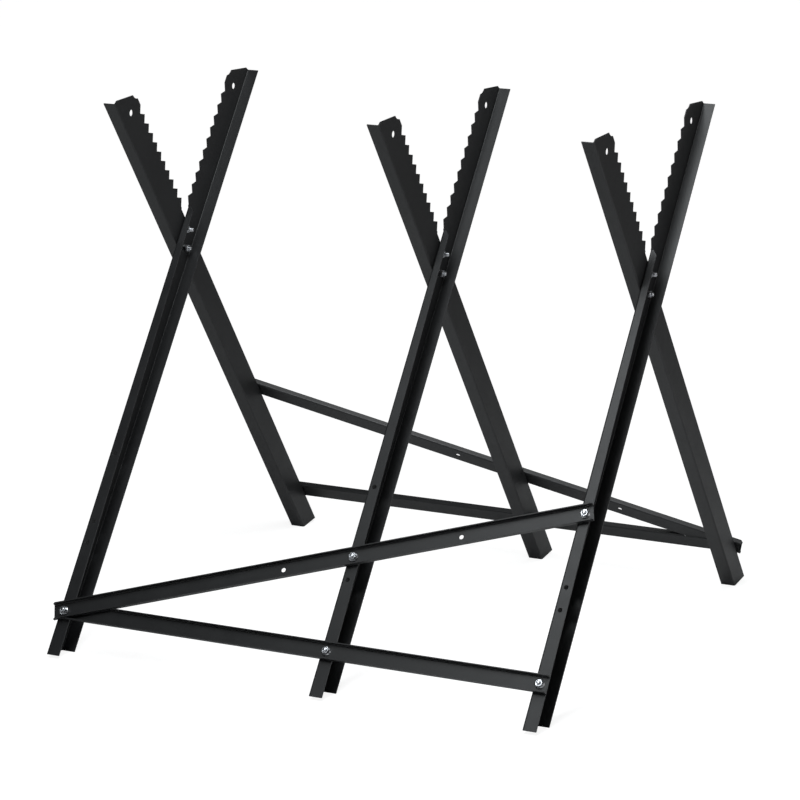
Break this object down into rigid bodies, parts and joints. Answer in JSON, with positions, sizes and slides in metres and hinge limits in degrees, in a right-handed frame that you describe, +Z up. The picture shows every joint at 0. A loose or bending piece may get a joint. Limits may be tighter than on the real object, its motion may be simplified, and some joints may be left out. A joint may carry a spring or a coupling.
{
  "type": "folding log sawhorse",
  "caption": "Sawbuck of crossed pressed-steel channel legs with toothed log cradles, tied by bolted brace channels front and rear so that the two sides fold together.",
  "frame": {"origin": "on the floor, at the centre of the sawhorse's footprint", "axes": "+X along the row of crossed legs, towards the end where the front diagonal brace is high; +Y from the front to the rear; +Z up"},
  "size_m": [0.8246, 0.8536, 0.8023],
  "materials": {
    "powder_coat": "satin black powder coat",
    "zinc": "bright zinc plate"
  },
  "bodies": {
    "front_frame": {"leg_front_left": "powder_coat", "leg_front_middle": "powder_coat", "leg_front_right": "powder_coat", "brace_front_lower": "powder_coat", "brace_front_upper": "powder_coat", "bolt_front_apex": "zinc", "nut_front_apex": "zinc", "bolt_front_lower_middle": "zinc", "nut_front_lower_middle": "zinc", "bolt_front_lower_end": "zinc", "nut_front_lower_end": "zinc", "bolt_front_upper_middle": "zinc", "nut_front_upper_middle": "zinc", "bolt_front_upper_end": "zinc", "nut_front_upper_end": "zinc", "bolt_pivot_left": "zinc", "nut_pivot_left": "zinc", "bolt_pivot_middle": "zinc", "nut_pivot_middle": "zinc", "bolt_pivot_right": "zinc", "nut_pivot_right": "zinc"},
    "rear_frame": {"leg_rear_left": "powder_coat", "leg_rear_middle": "powder_coat", "leg_rear_right": "powder_coat", "brace_rear_lower": "powder_coat", "brace_rear_upper": "powder_coat", "bolt_rear_apex": "zinc", "nut_rear_apex": "zinc", "bolt_rear_lower_middle": "zinc", "nut_rear_lower_middle": "zinc", "bolt_rear_lower_end": "zinc", "nut_rear_lower_end": "zinc", "bolt_rear_upper_middle": "zinc", "nut_rear_upper_middle": "zinc", "bolt_rear_upper_end": "zinc", "nut_rear_upper_end": "zinc"},
    "lock_bolts": {"bolt_lock_left": "zinc", "nut_lock_left": "zinc", "bolt_lock_middle": "zinc", "nut_lock_middle": "zinc", "bolt_lock_right": "zinc", "nut_lock_right": "zinc"}
  },
  "joints": [
    {"name": "fold", "type": "hinge", "parent": "front_frame", "child": "rear_frame", "pos_m": [0, 0, 0.57355], "axis": [-1, 0, 0], "range_deg": [0, 68]},
    {"name": "lock_slide", "type": "hinge", "parent": "front_frame", "child": "lock_bolts", "pos_m": [0, 0, 0.57355], "axis": [-1, 0, 0], "range_deg": [0, 34]}
  ],
  "couplings": [
    {"joint": "lock_slide", "follows": "fold", "ratio": 0.5}
  ]
}
